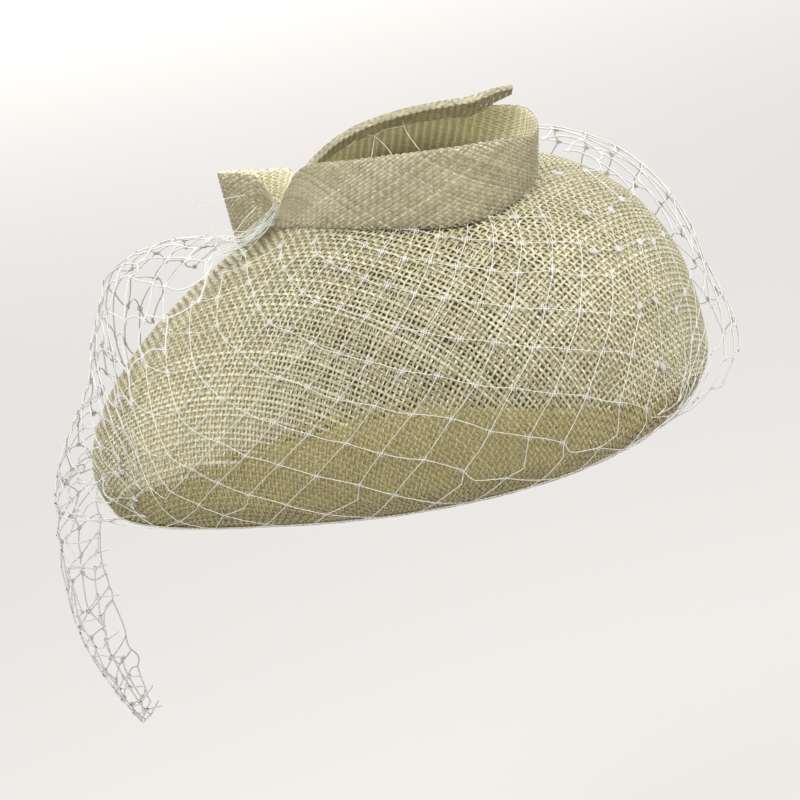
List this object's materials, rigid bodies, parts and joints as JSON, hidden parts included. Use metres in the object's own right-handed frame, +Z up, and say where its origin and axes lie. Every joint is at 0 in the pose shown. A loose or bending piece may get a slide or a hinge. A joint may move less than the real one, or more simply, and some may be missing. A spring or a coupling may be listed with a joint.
{
  "type": "fascinator headpiece",
  "caption": "Domed sinamay half-hat with a looped bow, a gathered birdcage veil with a hanging face drop, and a sewn head comb.",
  "frame": {"origin": "centre of the head opening, in the plane of the rim's lower edge", "axes": "+Z up out of the crown, +X along the hat's length towards its blunter end, -Y the side the veil lies on"},
  "size_m": [0.2438, 0.1766, 0.1879],
  "materials": {
    "sinamay": "stiffened open straw weave, satin glints",
    "bow_sinamay": "doubled bias-cut straw weave, finer, satin glints",
    "net": "off-white nylon net, slight sheen",
    "ribbon": "matt ribbed petersham",
    "wire": "dull drawn wire",
    "comb": "moulded, glossy, cream",
    "thread": "polished sewing thread"
  },
  "bodies": {
    "hat": {"crown_outer": "sinamay", "crown_lining": "sinamay", "hem_band": "sinamay", "rim_binding": "sinamay", "rim_wire": "wire", "wire_joiner": "wire", "head_ribbon": "ribbon", "comb_stitch_1": "thread", "comb_stitch_2": "thread", "comb_stitch_3": "thread", "comb_stitch_4": "thread", "big_loop": "bow_sinamay", "small_loop": "bow_sinamay", "loop_tail": "bow_sinamay", "gather_thread": "thread", "veil_gather": "net", "veil_front": "net", "veil_left_lobe": "net", "veil_right_lobe": "net"},
    "comb": {"comb": "comb"},
    "face_veil": {"veil_drop": "net"}
  },
  "joints": [
    {"name": "comb_tilt", "type": "hinge", "parent": "hat", "child": "comb", "pos_m": [0.014, 0.0588, 0.0085], "axis": [1, 0, 0], "range_deg": [-8, 40]},
    {"name": "veil_lift", "type": "hinge", "parent": "hat", "child": "face_veil", "pos_m": [-0.1195, 0, 0.0035], "axis": [0, 1, 0], "range_deg": [-4, 90]}
  ]
}
